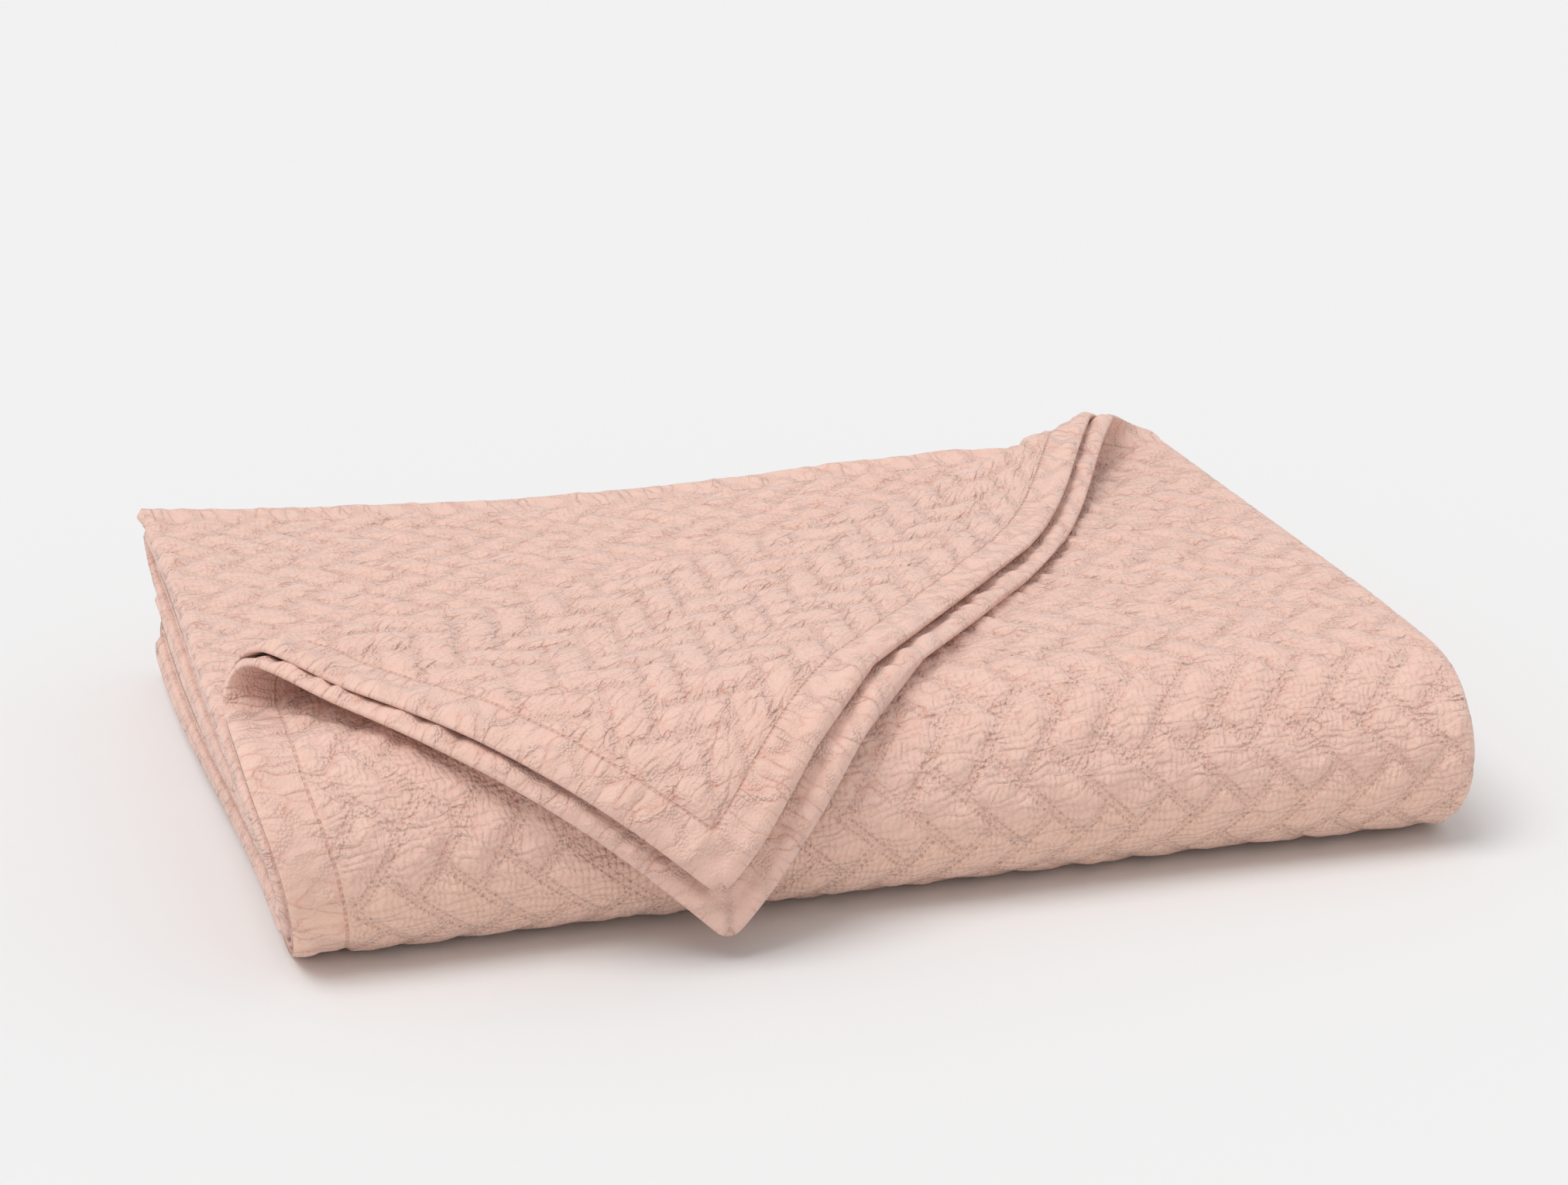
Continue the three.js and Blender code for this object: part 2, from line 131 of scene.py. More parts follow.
# How far the cloth is puckered into lumps (where it is hardly puckered, painted light pales its dye), how
# gauzy it lies, and how clearly its stitches show
CRINKLE_ON_FLAP = np.array([1.0, 0.35, 0.3])
CRINKLE_ON_TOP = np.array([0.9, 0.45, 0.3])
CRINKLE_ON_FRONT = np.array([0.75, 0.6, 0.65])
CRINKLE_PULLED_FLAT = np.array([0.0, 1.0, 1.0])

# The corner turned over, as on the flat strip
CREASE_FROM_BACK = 334
CREASE_SLANT = 0.45
CREASE_BOW = 34
CREASE_BOW_FROM = 350
CREASE_LENGTH = 640
CREASE_SKEW = 0.14
CREASE_GATHER = 0.055
BACK_SHORTFALL = 22
BACK_HOLLOW = 18
ROLL_ALONG = np.array([0.0, 70.0, 170.0, 420.0, 620.0])
ROLL_RADIUS = np.array([12.5, 9.0, 4.2, 4.2, 13.0])
LOOSE = 1.6
SETTLE = 55
FLAP_REST = (1.4 * PITCH, 2.8 * PITCH)
FLAP_LIFT = 11
FLAP_PARTING = 3
FLAP_LIFTS_BEFORE = 70
FLAP_LIFTED_PAST = 110
FLAP_COVERS_FROM = (16, 50)  # from the left end and from the back
HANG_ANGLE = 1.45

# How the stack has settled
NOSE_SINK = 0.04
RIGHT_SINK = 0.1
BACK_SAG = 0.045
RIGHT_SAG = 0.07
SAG_COLUMNS = (190, 385)
BACK_DIP = 0.11  # further sag than the solid's, between the back left corner and the turned one
DIP_LENGTH = 450
DIP_FULLNESS = 0.7
BACK_NARROWING = 10
SWAY = 0.008
SWAY_LENGTH = 95
TOP_OVERHANG = 18
BACK_OVERHANG = 11
SIDE_WAVER = 2
SIDE_WAVER_LENGTH = 70
SIDE_WAVER_TURN = 5
FRONT_BOW = 3.5
FRONT_WAVER = 1.6
FRONT_WAVER_BELOW = 0.4
FRONT_WAVER_LENGTH = 60
FLOOR_TRIM = 0.9

# What is pressed between layers has hardly any relief. Past the crease, each layer of the turned
# corner shows from here on, or is hidden from here on.
PRESSED_SHARE = 0.3
SECOND_SHOWS_FROM = 6
THIRD_SHOWS_FROM = 14
OUTER_HIDES_FROM = 4
INNER_SHOWS_FROM = 10
JUST_BELOW = 0.1

# The spacing of the mesh: columns kept in a row where the cloth shows, rolls up or lies hidden
FINE = QUILT_STEP / 5.6
EVERY = 1
EVERY_SECOND = 2
EVERY_FIFTH = 5
NO_COLUMN = 0
EVERY_ROW_HAS = 24  # one column in so many runs through every row
RIM_STEP = 0.9
HEM_COLUMNS = ((-1, 5), (10, 12.4), (23, 27.5))
END_ROWS = (HEM, 12, 4, RIM_STEP, 0)
LAST_PLAIN_ROW = HEM + 6
TURN_STEP = 4.9
PANEL_STEP = 42.0
ROW_GAP = 4
ROWS_PAST_NOSE = 4

# How far beyond a part that shows the mesh stays fine
PAST_CREASE = 8
PAST_NOSE = 12
BEFORE_FLAP = 6
BEFORE_PAIR = 4
BEHIND_FROM = 2
PAST_ROLL = 6
INNER_HEM_FROM = 6
SETTLED_TO = 90
LIFTED_FROM = 260


def lerp(a, b, t):
    return a + (b - a) * t


def smooth(v, low, high):
    t = np.clip((v - low) / (high - low), 0, 1)
    return t * t * (3 - 2 * t)


# Straight runs joined by half turns, a positive radius turning left
def folded_section(start, heading, pieces):
    legs = []
    (u, v), angle, reached = start, heading, 0.0
    for run, turn in pieces:
        length = run if run else math.pi * abs(turn)
        legs.append((reached, u, v, angle, turn))
        if run:
            u, v = u + run * math.cos(angle), v + run * math.sin(angle)
        else:
            u, v = u - 2 * turn * math.sin(angle), v + 2 * turn * math.cos(angle)
            angle += math.copysign(math.pi, turn)
        reached += length
    return np.array(legs)


# Where a length along a folded section comes to, and which way it heads there
def on_section(legs, length):
    leg = np.clip(np.searchsorted(legs[:, 0], length, side="right") - 1, 0, None)
    start, u, v, angle, turn = np.moveaxis(legs[leg], -1, 0)
    into = length - start
    straight = turn == 0
    radius = np.where(straight, 1, turn)
    turned = angle + np.where(straight, 0, into / radius)
    across = np.where(straight, u + into * np.cos(angle), u + radius * (np.sin(turned) - np.sin(angle)))
    up = np.where(straight, v + into * np.sin(angle), v - radius * (np.cos(turned) - np.cos(angle)))
    return across, up, turned


ACROSS = folded_section((0, OUTER_TURN), 0, [
    (RUN, 0), (0, -OUTER_TURN), (RUN, 0), (0, -INNER_TURN), (RUN, 0), (0, INNER_TURN), (RUN, 0),
])
ALONG = folded_section((TOP_RUN, 5.5 * STRIP), math.pi, [
    (TOP_RUN, 0), (0, FRONT_TURN), (PANEL, 0), (0, SMALL_TURN), (PANEL, 0), (0, -MIDDLE_TURN),
    (PANEL, 0), (0, -SMALL_TURN), (PANEL, 0), (0, SMALL_TURN), (PANEL, 0),
])

FORWARD = (math.cos(CREASE_SLANT), -math.sin(CREASE_SLANT))
BACKWARD = (-math.sin(CREASE_SLANT), -math.cos(CREASE_SLANT))


# Distance along the crease, distance back from it, and how far it has bent back there
def crease_place(x, back):
    down = back - CREASE_FROM_BACK
    s = x * FORWARD[0] + down * FORWARD[1]
    bow = CREASE_BOW * np.maximum(0, (s - CREASE_BOW_FROM) / (CREASE_LENGTH - CREASE_BOW_FROM)) ** 2
    return s, x * BACKWARD[0] + down * BACKWARD[1] - bow, bow


def roll_radius(s):
    n = np.clip(np.searchsorted(ROLL_ALONG, s, side="right") - 1, 0, len(ROLL_ALONG) - 2)
    share = smooth(s, ROLL_ALONG[n], ROLL_ALONG[n + 1])
    return lerp(ROLL_RADIUS[n], ROLL_RADIUS[n + 1], share)


# Turns the outer pair of layers over the crease
def turn_corner(x, back, level):
    s, m, bow = crease_place(x, back)
    turned = (level > OUTER_PAIR) & (m > 0)
    depth = OUTER_TURN - level
    share = np.clip(depth / PITCH, 0, 1)
    inner = roll_radius(s)
    radius = inner + depth
    angle = np.minimum(np.maximum(m, 0) / radius, math.pi)
    beyond = np.maximum(0, m - math.pi * radius)
    reach = bow + radius * np.sin(angle) - beyond * (1 - CREASE_GATHER)
    height = OUTER_TURN + inner - radius * np.cos(angle) + LOOSE * share * smooth(angle, 0, math.pi)
    slid = s - CREASE_SKEW * beyond
    flat_back = CREASE_FROM_BACK + slid * FORWARD[1] + reach * BACKWARD[1]
    hang = smooth(flat_back, TOP_RUN - FLAP_LIFTS_BEFORE, TOP_RUN + FLAP_LIFTED_PAST)
    rest = OUTER_TURN + lerp(FLAP_REST[0], FLAP_REST[1], share) + (FLAP_LIFT + FLAP_PARTING * share) * hang
    height = np.where(beyond > 0, lerp(rest, height, np.exp(-((beyond / SETTLE) ** 2))), height)
    new_x = slid * FORWARD[0] + reach * BACKWARD[0]
    return (np.where(turned, new_x, x), np.where(turned, flat_back, back),
            np.where(turned, height, level), turned)


# Sinks, sags and shifts the stack as it has settled
def settle(x, y, z):
    share = z / (6 * STRIP)
    front = 1 - smooth(y, -FRONT_TURN - STRIP, 2 * FRONT_TURN)
    rear = np.maximum(0, y / PANEL)
    inward = np.clip(x / SAG_COLUMNS[0], 0, 1)
    to_right = np.clip((x - SAG_COLUMNS[1]) / (RUN - SAG_COLUMNS[1]), 0, 1)
    sink = NOSE_SINK * front + RIGHT_SINK * to_right
    dip = BACK_DIP * rear ** 2 * np.sin(math.pi * np.clip(x / DIP_LENGTH, 0, 1)) ** DIP_FULLNESS
    sag = rear * inward * lerp(BACK_SAG, RIGHT_SAG, to_right) + dip
    sway = SWAY * np.sin(x / SWAY_LENGTH) * (1 - front)
    overhang = TOP_OVERHANG * share + BACK_OVERHANG * (1 - share) * smooth(y, -FRONT_TURN - STRIP, PANEL)
    waver = SIDE_WAVER * np.sin(y / SIDE_WAVER_LENGTH + SIDE_WAVER_TURN * share)
    inset = BACK_NARROWING * rear * x / RUN
    bow = FRONT_BOW * share * np.sin(math.pi * x / RUN)
    ripple = FRONT_WAVER * lerp(FRONT_WAVER_BELOW, 1, share) * np.sin(x / FRONT_WAVER_LENGTH)
    return np.stack([x + (waver - overhang) * (1 - x / RUN) - inset, y + bow + ripple,
                     z * (1 - sink - sag + sway)], axis=-1)


# The middle of the cloth's thickness
def middle(p, q):
    across, level, _ = on_section(ACROSS, p)
    x, back, level, turned = turn_corner(across, q, level)
    u, v, angle = on_section(ALONG, back)
    y = u + level * np.sin(angle)
    z = v - level * np.cos(angle)
    past = np.maximum(0, back - TOP_RUN)
    reach = FRONT_TURN + level
    round_nose = np.minimum(past / reach, HANG_ANGLE)
    free = past - reach * round_nose
    hangs = turned & (back > TOP_RUN)
    y = np.where(hangs, -reach * np.sin(round_nose) - free * np.cos(round_nose), y)
    z = np.where(hangs, 3 * STRIP + reach * np.cos(round_nose) - free * np.sin(round_nose), z)
    return settle(x, y, z)


# The outer pair's back hem falls short of the pair below
def length_at(p, row):
    x, level, _ = on_section(ACROSS, p)
    share = np.clip(x / RUN, 0, 1)
    short = BACK_SHORTFALL * (1 - share) + BACK_HOLLOW * np.sin(math.pi * share)
    return row + np.where(level > OUTER_PAIR, short * np.maximum(0, 1 - row / TOP_RUN), 0)


# The cloth's corners are rounded where the hem turns
def round_corner(p, row):
    side, end = np.minimum(p, CLOTH_WIDTH - p), np.minimum(row, CLOTH_LENGTH - row)
    a, b = np.maximum(CORNER_RADIUS - side, 0), np.maximum(CORNER_RADIUS - end, 0)
    pull = 1 - np.maximum(a, b) / np.maximum(np.hypot(a, b), TINY)
    pull = np.where((a > 0) & (b > 0), pull, 0)
    return (p + np.where(p < CLOTH_WIDTH / 2, 1, -1) * a * pull,
            row + np.where(row < CLOTH_LENGTH / 2, 1, -1) * b * pull)


# Places a given height above the middle of the cloth, at right angles to it
def face_points(p, row, height):
    p, row = round_corner(p, row)
    q = length_at(p, row)
    along_width = middle(p + PROBE, q) - middle(p - PROBE, q)
    along_length = middle(p, q + PROBE) - middle(p, q - PROBE)
    up = np.cross(along_length, along_width)
    up /= np.linalg.norm(up, axis=-1, keepdims=True)
    points = middle(p, q) + up * height[..., None]
    points[..., 2] = np.maximum(0, points[..., 2] - FLOOR_TRIM)
    return points


# Smooth noise from a seeded table, one swell to each size in mm
def soft_noise(x, y, size, seed):
    table = np.random.default_rng(seed).uniform(-1, 1, NOISE_TABLE)
    rows, columns = table.shape
    x, y = x / size[0], y / size[1]
    i, j = np.floor(x).astype(int), np.floor(y).astype(int)
    fx, fy = smooth(x - i, 0, 1), smooth(y - j, 0, 1)

    def at(a, b):
        return table[a % rows, b % columns]

    return lerp(lerp(at(i, j), at(i + 1, j), fx), lerp(at(i, j + 1), at(i + 1, j + 1), fx), fy)


# Swells of two sizes together, the second ones lower
def soft_folds(x, y, sizes, second, seed):
    return soft_noise(x, y, sizes[0], seed) + second * soft_noise(x, y, sizes[1], seed + 1)


# How far along and across its brick a place lies, in brick widths, and a number for that brick
def brick_place(p, q):
    a, b = (p + q) / (math.sqrt(2) * BRICK), (p - q) / (math.sqrt(2) * BRICK)
    m, n = np.floor(a), np.floor(b)
    kind = (m - n) % 4
    lies_along_a = kind < 2
    along = np.where(lies_along_a, a - m + (kind == 1), b - n + (kind == 2))
    across = np.where(lies_along_a, b - n, a - m)
    number = np.where(lies_along_a, 7 * (m - (kind == 1)) + 3 * n, 5 * m + 11 * (n - (kind == 2)) + 2)
    return along, across, number


# Where on the folded blanket a place of the cloth is, and whether the turned corner covers it
def look_at(p, row):
    x, level, _ = on_section(ACROSS, p)
    back = length_at(p, row)
    s, m, bow = crease_place(x, back)
    beyond = -m / (1 - CREASE_GATHER)
    along = s + CREASE_SKEW * beyond
    back_there = math.pi * roll_radius(along) + beyond + bow
    over_x = along * FORWARD[0] + back_there * BACKWARD[0]
    over_back = CREASE_FROM_BACK + along * FORWARD[1] + back_there * BACKWARD[1]
    covered = (m < 0) & (over_x > FLAP_COVERS_FROM[0]) & (over_back > FLAP_COVERS_FROM[1])
    return SimpleNamespace(x=x, level=level, back=back, along_crease=s, past_crease=m, covered=covered,
                           turned=(level > OUTER_PAIR) & (m > 0), at_turn=(x > RUN) | (x < 0))


# Distance from the nearest edge of the cloth, and along that edge from its nearest corner
def edge_distance(p, row):
    sides = np.minimum(p, CLOTH_WIDTH - p)
    ends = np.minimum(row, CLOTH_LENGTH - row)
    return np.minimum(sides, ends), np.maximum(sides, ends)


def hem_height(distance, along, relief):
    roll, pucker = relief
    rise = roll * np.sin(math.pi * np.clip(distance / ROLLED_EDGE, 0, 1)) ** ROLL_FULLNESS
    folds = soft_folds(along, distance, PUCKERS, SECOND_PUCKER, 3)
    band = smooth(distance, *PUCKERS_RISE) * (1 - smooth(distance, *PUCKERS_FALL))
    drawn_in = np.exp(-((distance - HEM) / STITCH_TROUGH) ** 2)
    gathers = soft_noise(along, distance, GATHERS, 5) * np.exp(-np.abs(distance - HEM) / GATHER_REACH)
    mitre = np.exp(-((along - distance) / MITRE_TROUGH) ** 2) * (distance < HEM)
    sewn = GATHER_HEIGHT * gathers - STITCH_DEPTH * drawn_in - MITRE_DEPTH * mitre
    return rise + pucker * folds * band + sewn


# How far a pad has risen: off is 0 in its middle and 1 or -1 at its borders
def pad_rise(off, flatness, fullness):
    return (1 - np.abs(off) ** flatness) ** fullness


def pulled_flat(row, level):
    return smooth(row, *PULLED_STARTS) * (level > PITCH)


# Each brick is a soft pad, puckered into lumps on top and pulled flatter low on the front
def quilted_height(row, p_cloth, q_cloth, place):
    along, across, number = brick_place(p_cloth, q_cloth)
    pad = pad_rise(2 * across - 1, *PAD_ACROSS) * pad_rise(along - 1, *PAD_ALONG)
    plump = 1 + PAD_VARIES * np.sin(number * PAD_STEP)
    pulled = pulled_flat(row, place.level)
    height = lerp(-STITCH_DIP, PUFF * plump, pad) * lerp(1, PULLED_PADS, pulled)
    lying = FLAP_FOLD_HEIGHT * soft_folds(p_cloth, q_cloth, FLAP_FOLDS, SECOND_FLAP_FOLD, 8)
    lumpy = LUMP_HEIGHT * soft_folds(p_cloth, q_cloth, LUMPS, SECOND_LUMP, 10)
    folds = np.where(place.turned, lying, lumpy) * lerp(1, PULLED_LUMPS, pulled)
    return height + folds * lerp(LUMPS_AT_BORDER, 1, pad)


# What of the quilted face is pressed between layers
def pressed_between(row, place):
    level, past = place.level, place.past_crease
    pressed = (level > 0) & (level < OUTER_TURN - JUST_BELOW) & (past < SECOND_SHOWS_FROM)
    pressed |= (level < 0) & (level > -PITCH) & ((past < THIRD_SHOWS_FROM) | (row > TOP_RUN))
    pressed |= (level > PITCH) & (past > OUTER_HIDES_FROM)
    return pressed | (~place.at_turn & (level < -PITCH))


# Half the thickness of the cloth with its relief, which the very edge has none of
def half_thickness(distance, height):
    thinned = CLOTH / 2 * lerp(EDGE_SHARE, 1, smooth(distance, 0, EDGE_SLOPE))
    return np.where(distance < RIM, EDGE_HALF, thinned + height)


# The face with the quilting: its height, and how far along the cloth its rows are there
def quilted_face(p, row):
    place = look_at(p, row)
    distance, along = edge_distance(p, row)
    # the layer on top has slipped a little askew, so its rows run down to the left
    slipped = ASKEW * (1 - place.x / RUN) * smooth(-place.past_crease, *ASKEW_FADES)
    q_cloth = row - np.where(place.level > PITCH, slipped, 0)
    height = quilted_height(row, p, q_cloth, place) * smooth(distance, *QUILT_RISES)
    relief = [np.where(place.turned, *heights) for heights in zip(FLAP_HEM_RELIEF, HEM_RELIEF)]
    height = height + hem_height(distance, along, relief) * (1 - smooth(distance, *HEM_FADES))
    height = np.where(pressed_between(row, place), np.minimum(height, 0) * PRESSED_SHARE, height)
    return half_thickness(distance, height), q_cloth


# The face that lies inside the fold, plain but for the hem that shows
def inner_face(p, row):
    place = look_at(p, row)
    distance, along = edge_distance(p, row)
    shows = (place.level > PITCH) & (place.past_crease > INNER_SHOWS_FROM)
    height = hem_height(distance, along, INNER_HEM_RELIEF) * (1 - smooth(distance, *INNER_HEM_FADES))
    return half_thickness(distance, np.where(shows, height, 0)), row


def crinkle_at(p, row):
    place = look_at(p, row)
    front = smooth(row, *FRONT_STARTS) * (place.level > PITCH)
    pulled = pulled_flat(row, place.level) * (1 - smooth(row, *PULLED_ENDS))
    to_front = lerp(CRINKLE_ON_TOP, CRINKLE_ON_FRONT, front[..., None])
    elsewhere = lerp(to_front, CRINKLE_PULLED_FLAT, pulled[..., None])
    return np.where(place.turned[..., None], CRINKLE_ON_FLAP, elsewhere)


def fineness_outside(p, row):
    place = look_at(p, row)
    level, past = place.level, place.past_crease
    roll = math.pi * (roll_radius(place.along_crease) + OUTER_TURN - level)
    outer = level > PITCH
    second = (level > 0) & (level <= PITCH)
    third = (level < 0) & (level >= -PITCH)
    on_top = place.back < TOP_RUN
    shows = outer & (past <= PAST_CREASE) & ~place.covered & (row < TOP_RUN + NOSE + PAST_NOSE)
    shows |= second & (past > -BEFORE_FLAP) & on_top
    shows |= third & (past > BEHIND_FROM) & on_top & (place.x < RUN)
    shows |= outer & (past > 0) & (past < roll + PAST_ROLL)
    hidden = outer & (past > 0) & ((past < roll + SETTLED_TO) | (past > LIFTED_FROM))
    return np.where(shows | place.at_turn, EVERY, np.where(hidden, EVERY_FIFTH, NO_COLUMN))


def fineness_inside(p, row):
    place = look_at(p, row)
    level, past = place.level, place.past_crease
    roll = math.pi * (roll_radius(place.along_crease) + OUTER_TURN - level)
    distance, _ = edge_distance(p, row)
    on_top = place.back < TOP_RUN
    pair = (level > OUTER_PAIR) & (past > -BEFORE_PAIR) & on_top
    hem = (level > PITCH) & (past > INNER_HEM_FROM) & (distance < HEM_FADES[1]) & on_top
    rolled = pair & (past < roll + PAST_ROLL)
    sparse = (pair & ((past < roll + SETTLED_TO) | (past > LIFTED_FROM))) | place.at_turn
    return np.where(hem, EVERY, np.where(rolled, EVERY_SECOND, np.where(sparse, EVERY_FIFTH, NO_COLUMN)))


def columns_of_cloth():
    columns = [0.0, RIM_STEP, CLOTH_WIDTH - RIM_STEP, CLOTH_WIDTH]
    columns += [i * FINE for i in range(1, int(CLOTH_WIDTH / FINE))]
    return np.unique(np.round(columns, 4))


# Close together as far as the cloth shows, then wide apart on the flat and closer in the turns
def rows_of_cloth():
    rows = [0.0, RIM_STEP]
    rows += [j * FINE for j in range(1, int((TOP_RUN + NOSE) / FINE) + ROWS_PAST_NOSE)]
    shown_to = rows[-1]
    leg_ends = [*ALONG[3:, 0], CLOTH_LENGTH]
    for (leg_start, _, _, _, turn), leg_end in zip(ALONG[2:], leg_ends):
        step = TURN_STEP if turn else PANEL_STEP
        count = max(2, round((leg_end - leg_start) / step))
        places = np.linspace(leg_start, leg_end, count + 1)[1:]
        rows += [q for q in places if q > shown_to + ROW_GAP]
    rows = [q for q in rows if q < CLOTH_LENGTH - LAST_PLAIN_ROW]
    return np.array(rows + [CLOTH_LENGTH - inset for inset in END_ROWS])


# One face of the cloth, as rows of columns, with the columns thinned where it lies hidden
def lay_face(columns, rows, fineness, surface, side):
    p, q = np.meshgrid(columns, rows)
    spacing = fineness(p, q)
    number = np.round(p / FINE).astype(int)
    edge = np.minimum(p, CLOTH_WIDTH - p)
    keep = (spacing > 0) & (number % np.maximum(spacing, 1) == 0)
    keep |= number % EVERY_ROW_HAS == 0
    for low, high in HEM_COLUMNS:
        keep |= (edge > low) & (edge < high)
    for leg_start in ACROSS[:, 0]:
        keep |= np.abs(p - leg_start) <= FINE / 2
    height, q_cloth = surface(p, q)
    distance, along = edge_distance(p, q)
    return SimpleNamespace(
        keep=keep, height=height, outside=side > 0,
        points=face_points(p, q, side * height)[keep],
        cloth=np.stack([p, q_cloth, np.zeros(p.shape)], -1)[keep],
        hem=np.stack([distance, along, np.full(p.shape, float(side))], -1)[keep],
        crinkle=crinkle_at(p[keep], q[keep]),
    )


# Fills between two rows with triangles. Each row has the places, corners and heights in it, and
# a square of two triangles is cut along its shallower diagonal.
def join_rows(row_a, row_b, turned, triangles):
    (places_a, corners_a, heights_a), (places_b, corners_b, heights_b) = row_a, row_b
    i = j = 0
    last_i, last_j = len(places_a) - 1, len(places_b) - 1
    while i < last_i or j < last_j:
        more_a, more_b = i < last_i, j < last_j
        here = more_a and more_b and places_a[i] == places_b[j]
        if here and places_a[i + 1] == places_b[j + 1]:
            a, next_a, b, next_b = corners_a[i], corners_a[i + 1], corners_b[j], corners_b[j + 1]
            falling = abs(heights_a[i] - heights_b[j + 1])
            rising = abs(heights_a[i + 1] - heights_b[j])
            if falling < rising:
                made = ((a, next_a, next_b), (a, next_b, b))
            else:
                made = ((a, next_a, b), (next_a, next_b, b))
            i += 1
            j += 1
        elif more_a and (not more_b or places_a[i + 1] < places_b[j + 1] or
                         (places_a[i + 1] == places_b[j + 1] and places_a[i] < places_b[j])):
            made = ((corners_a[i], corners_a[i + 1], corners_b[j]),)
            i += 1
        else:
            made = ((corners_a[i], corners_b[j + 1], corners_b[j]),)
            j += 1
        for one, two, three in made:
            triangles.append((one, three, two) if turned else (one, two, three))


# The two faces of the cloth, joined row by row and closed round its edge
def blanket_mesh():
    columns, rows = columns_of_cloth(), rows_of_cloth()
    faces = (lay_face(columns, rows, fineness_outside, quilted_face, 1),
             lay_face(columns, rows, fineness_inside, inner_face, -1))
    triangles, nets, count = [], [], 0
    for face in faces:
        number = np.full(face.keep.shape, -1)
        number[face.keep] = np.arange(face.keep.sum()) + count
        count += face.keep.sum()
        net = [(columns[kept].tolist(), corners[kept].tolist(), heights[kept].tolist())
               for kept, corners, heights in zip(face.keep, number, face.height)]
        for row, next_row in zip(net, net[1:]):
            join_rows(row, next_row, face.outside, triangles)
        nets.append(net)
    outside, inside = nets
    join_rows(outside[0], inside[0], False, triangles)
    join_rows(outside[-1], inside[-1], True, triangles)
    for end, turned in ((0, True), (-1, False)):
        edges = [(rows.tolist(), [row[1][end] for row in net], [0] * len(rows)) for net in nets]
        join_rows(*edges, turned, triangles)
    points = np.concatenate([face.points for face in faces])
    marks = {name: np.concatenate([getattr(face, name) for face in faces])
             for name in ("cloth", "hem", "crinkle")}
    return points, triangles, marks


def build_blanket():
    points, triangles, marks = blanket_mesh()
    low, high = (np.array(corner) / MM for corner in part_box("blanket"))
    own_low, own_high = points.min(0), points.max(0)
    shift = (low + high) / 2 - (own_low + own_high) / 2
    shift[2] = low[2] - own_low[2]
    mesh = bpy.data.meshes.new("blanket_cloth")
    mesh.from_pydata(((points + shift) * MM).tolist(), [], triangles)
    mesh.update()
    for name, values in marks.items():
        layer = mesh.attributes.new(name, "FLOAT_VECTOR", "POINT")
        layer.data.foreach_set("vector", values.astype(np.float32).ravel())
    mesh.shade_smooth()
    piece = bpy.data.objects.new("folded_blanket", mesh)
    bpy.context.scene.collection.objects.link(piece)
    return piece


# The dye, with a paler painted light and a deeper painted shade of it
BLUSH = "#EBC2B2"
BLUSH_WASHED = "#EDC8B9"
BLUSH_PAINTED_LIGHT = "#FACEB8"
BLUSH_PAINTED_SHADE = "#DC8F75"
FLOOR_WHITE = "#E8E8E8"

# Sizes of what the cotton's material draws, in mm
STITCH_GAP = 1.7  # each row of the double stitching runs this far from a brick's border
STITCH_LENGTH = 2.6
STITCH_WIDTH = 0.8
HEM_STITCH = 3.2
HEM_STITCH_WIDTH = (0.2, 0.9)
SMALL_LUMP = (12.5, 7.0)  # across and along the cloth
HEM_LUMP = (20, 7.5)
GAUZE_LYING = 4.2
GAUZE_UPRIGHT = 3.4
GAUZE_DRIFT = (15, 9)
CURLS_TO_A_MM = 0.62  # coarser than real thread, which would be too fine to show
CURLS_FROM_BORDER = (2.0, 4.2)
WASHED_PATCH = (60, 45)
LUMPS_FROM_BORDER = (1.0, 8.0)
INSIDE_HEM = (HEM + 1.0, HEM + 3.5)

# And how far each stands up or lies deep, in mm
SMALL_LUMP_HEIGHT = 1.5
GAUZE_HEIGHT = 0.75
CURL_DEPTH = -0.8
SEWN_DEPTH = -0.7
PAINTED_SHADE_SHARE = 0.42  # share of the painted shade in creases and troughs, and in stitches, where it also stands for the thread
PAINTED_LIGHT_SHARE = 0.85  # share of the painted light where the cloth is pulled flat
# how puckered the cloth must be to take none of the painted light
PUCKERED_WITHOUT_PAINTED_LIGHT = 0.7

# Shares of a lump's patch, and of the full lump
LUMP_WANDER = 0.9
LUMP_WANDER_SCALE = 0.8
LUMP_SIDE = 0.36
LUMP_FULLNESS = 0.65
LUMP_TROUGH = 0.16
LOW_LUMP = 0.2
LUMP_IN_PAD = 0.5
LUMP_ON_HEM = 0.75
NOISE_MIDDLE = (0.38, 0.62)

# Shares of the full rib, curl and stitch, and how far the ribs sway
UPRIGHT_SHARE = 0.75
LYING_SWAY = 6.5
UPRIGHT_SWAY = -6.0
CREASE_SIDE = 0.45
# share of painted shade in the gauze's creases
CREASE_PAINTED_SHADE = 0.45
CURL_IN_PAD = 0.4
BETWEEN_STITCHES = 0.1
BETWEEN_HEM_STITCHES = 0.4


# sRGB hex to linear
def linear(code):
    parts = [int(code[i:i + 2], 16) / 255 for i in (1, 3, 5)]
    return tuple(c / 12.92 if c <= 0.04045 else ((c + 0.055) / 1.055) ** 2.4 for c in parts) + (1.0,)


def new_material(name):
    material = bpy.data.materials.new(name)
    material.use_nodes = True
    material.node_tree.nodes.clear()
    return material, material.node_tree


# Adds a node: inputs are numbers, colours or the nodes that feed it, and settings are its own
def add(tree, kind, inputs, **settings):
    node = tree.nodes.new("ShaderNode" + kind)
    for name, value in settings.items():
        setattr(node, name, value)
    for name, value in inputs.items():
        if isinstance(value, bpy.types.Node):
            value = value.outputs[0]
        if isinstance(value, bpy.types.NodeSocket):
            tree.links.new(value, node.inputs[name])
        else:
            node.inputs[name].default_value = value
    return node


